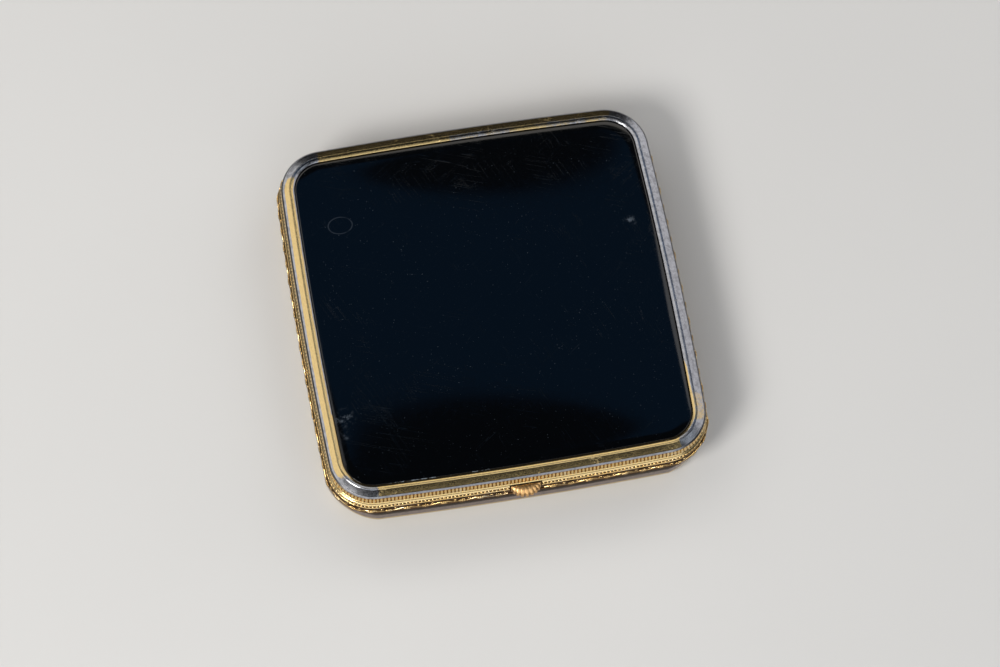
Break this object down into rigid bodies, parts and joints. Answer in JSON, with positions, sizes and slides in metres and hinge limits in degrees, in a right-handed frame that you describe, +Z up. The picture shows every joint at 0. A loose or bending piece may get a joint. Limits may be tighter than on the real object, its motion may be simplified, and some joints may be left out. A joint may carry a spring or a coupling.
{
  "type": "powder compact",
  "caption": "Square hinged powder compact with a domed black lid panel, beaded and scrolled gilt edge, front push catch, mirror, sifter and puff.",
  "frame": {"origin": "middle of the flat underside", "axes": "+Z up out of the lid, -Y towards the catch at the front, +Y towards the hinge, X along the hinge"},
  "size_m": [0.0762, 0.0774, 0.0131],
  "materials": {
    "bezel_gilt": "worn gilt plate over nickel silver, polished, finely scratched",
    "case_gilt": "bright gilt brass, drawn and stamped",
    "trim_gilt": "bright gilt brass with dark recesses",
    "catch_gilt": "satin warm gilt",
    "hinge_gilt": "satin gilt",
    "steel": "bright drawn steel",
    "black_panel": "glossy black, finely scratched",
    "card": "grey-brown card",
    "mirror": "silvered glass",
    "powder": "matt pressed face powder",
    "gauze": "fine open weave",
    "puff": "short velour pile",
    "ribbon": "satin ribbon"
  },
  "bodies": {
    "base": {"base_pan": "case_gilt", "scroll_band": "trim_gilt", "base_bead_wire_1": "trim_gilt", "base_bead_wire_2": "trim_gilt", "base_knuckle_1": "hinge_gilt", "base_knuckle_2": "hinge_gilt", "base_knuckle_3": "hinge_gilt", "hinge_pin": "steel", "well_tray": "case_gilt", "powder_fill": "powder", "sifter_ring": "catch_gilt", "sifter_mesh": "gauze", "powder_puff": "puff", "puff_ribbon": "ribbon", "catch_guide": "case_gilt", "catch_spring": "steel", "catch_rivet_1": "hinge_gilt", "catch_rivet_2": "hinge_gilt"},
    "lid": {"lid_frame": "bezel_gilt", "lid_bead_wire": "trim_gilt", "lid_panel": "black_panel", "panel_backing": "card", "mirror_pad": "card", "mirror": "mirror", "mirror_frame": "case_gilt", "lid_knuckle_1": "hinge_gilt", "lid_knuckle_2": "hinge_gilt", "catch_keeper": "steel"},
    "push": {"push_piece": "catch_gilt", "catch_slide": "steel"}
  },
  "joints": [
    {"name": "lid_hinge", "type": "hinge", "parent": "base", "child": "lid", "pos_m": [0, 0.0373, 0.009], "axis": [-1, 0, 0], "range_deg": [0, 110]},
    {"name": "catch_push", "type": "slide", "parent": "base", "child": "push", "axis": [0, 1, 0], "range_m": [0, 0.0008], "stiffness_N_per_m": 300, "springref_m": -0.0005, "deforming": ["catch_spring"]}
  ]
}
